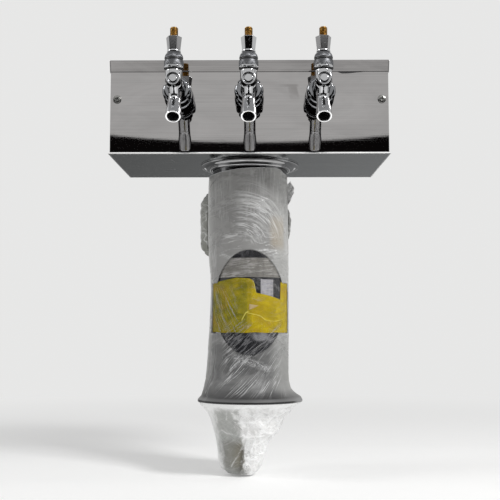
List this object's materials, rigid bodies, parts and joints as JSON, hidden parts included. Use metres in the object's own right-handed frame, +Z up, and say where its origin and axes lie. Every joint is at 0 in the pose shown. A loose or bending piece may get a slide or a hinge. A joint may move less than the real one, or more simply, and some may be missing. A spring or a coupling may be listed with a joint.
{
  "type": "beer tower dispenser",
  "caption": "T-shaped draught tower with a polished steel head box, chrome lever faucets on its front and a film-wrapped round column on a bolted flange.",
  "frame": {"origin": "centre of the base flange's underside, on the column's axis", "axes": "+Z up the column, -Y towards the faucets and the customer's side, +X to the right seen from the front"},
  "size_m": [0.3594, 0.2677, 0.5488],
  "materials": {
    "box_steel": "polished stainless sheet",
    "panel_steel": "mirror-like stainless with faint horizontal brush lines",
    "zinc_steel": "zinc plated",
    "foam": null,
    "column_chrome": "polished",
    "chrome": "polished",
    "shank_chrome": "plated, threaded",
    "badge_black": "smooth",
    "band_yellow": "smooth",
    "film": "clear wrinkled film",
    "film_thick": "crumpled film, several layers",
    "black_rubber": "matt",
    "seat_white": "smooth",
    "brass": "threaded",
    "plunger_steel": "turned",
    "hose": "food-grade hose"
  },
  "bodies": {
    "tower": {"floor_plate": "box_steel", "head_shell": "box_steel", "front_panel": "panel_steel", "head_lid": "panel_steel", "sheet_screws": "zinc_steel", "clip_nuts": "zinc_steel", "head_liner": "foam", "column_tube": "column_chrome", "collar": "chrome", "backing_ring": "zinc_steel", "head_bolts": "zinc_steel", "column_foam": "foam", "base_flange": "box_steel", "badge": "badge_black", "tape_band": "band_yellow", "film_wrap": "film", "rear_bundle": "film_thick", "film_tuft": "film", "tail_bag": "film_thick", "shanks": "shank_chrome", "shank_flanges": "chrome", "jam_nuts": "zinc_steel", "coupling_gaskets": "black_rubber", "front_plugs": "chrome", "ball_seats": "seat_white", "friction_rings": "black_rubber", "tailpieces": "chrome", "tail_nuts": "zinc_steel", "hose_clamps": "zinc_steel", "left_faucet_body": "chrome", "left_coupling_nut": "chrome", "left_bonnet": "chrome", "left_dome_nut": "chrome", "left_beer_line": "hose", "middle_faucet_body": "chrome", "middle_coupling_nut": "chrome", "middle_bonnet": "chrome", "middle_dome_nut": "chrome", "middle_beer_line": "hose", "right_faucet_body": "chrome", "right_coupling_nut": "chrome", "right_bonnet": "chrome", "right_dome_nut": "chrome", "right_beer_line": "hose"},
    "left_lever_body": {"left_lever": "chrome", "left_ferrule": "chrome", "left_stud": "brass"},
    "left_plunger_body": {"left_plunger": "plunger_steel", "left_seat_washer": "black_rubber"},
    "middle_lever_body": {"middle_lever": "chrome", "middle_ferrule": "chrome", "middle_stud": "brass"},
    "middle_plunger_body": {"middle_plunger": "plunger_steel", "middle_seat_washer": "black_rubber"},
    "right_lever_body": {"right_lever": "chrome", "right_ferrule": "chrome", "right_stud": "brass"},
    "right_plunger_body": {"right_plunger": "plunger_steel", "right_seat_washer": "black_rubber"}
  },
  "joints": [
    {"name": "left_lever_swing", "type": "hinge", "parent": "tower", "child": "left_lever_body", "pos_m": [-0.0889, -0.1665, 0.412], "axis": [1, 0, 0], "range_deg": [0, 30]},
    {"name": "left_plunger_slide", "type": "slide", "parent": "tower", "child": "left_plunger_body", "axis": [0, 1, 0], "range_m": [0, 0.0046]},
    {"name": "middle_lever_swing", "type": "hinge", "parent": "tower", "child": "middle_lever_body", "pos_m": [0, -0.1665, 0.412], "axis": [1, 0, 0], "range_deg": [0, 30]},
    {"name": "middle_plunger_slide", "type": "slide", "parent": "tower", "child": "middle_plunger_body", "axis": [0, 1, 0], "range_m": [0, 0.0046]},
    {"name": "right_lever_swing", "type": "hinge", "parent": "tower", "child": "right_lever_body", "pos_m": [0.0889, -0.1665, 0.412], "axis": [1, 0, 0], "range_deg": [0, 30]},
    {"name": "right_plunger_slide", "type": "slide", "parent": "tower", "child": "right_plunger_body", "axis": [0, 1, 0], "range_m": [0, 0.0046]}
  ],
  "couplings": [
    {"joint": "left_plunger_slide", "follows": "left_lever_swing", "m_per_rad": 0.008594},
    {"joint": "middle_plunger_slide", "follows": "middle_lever_swing", "m_per_rad": 0.008594},
    {"joint": "right_plunger_slide", "follows": "right_lever_swing", "m_per_rad": 0.008594}
  ]
}
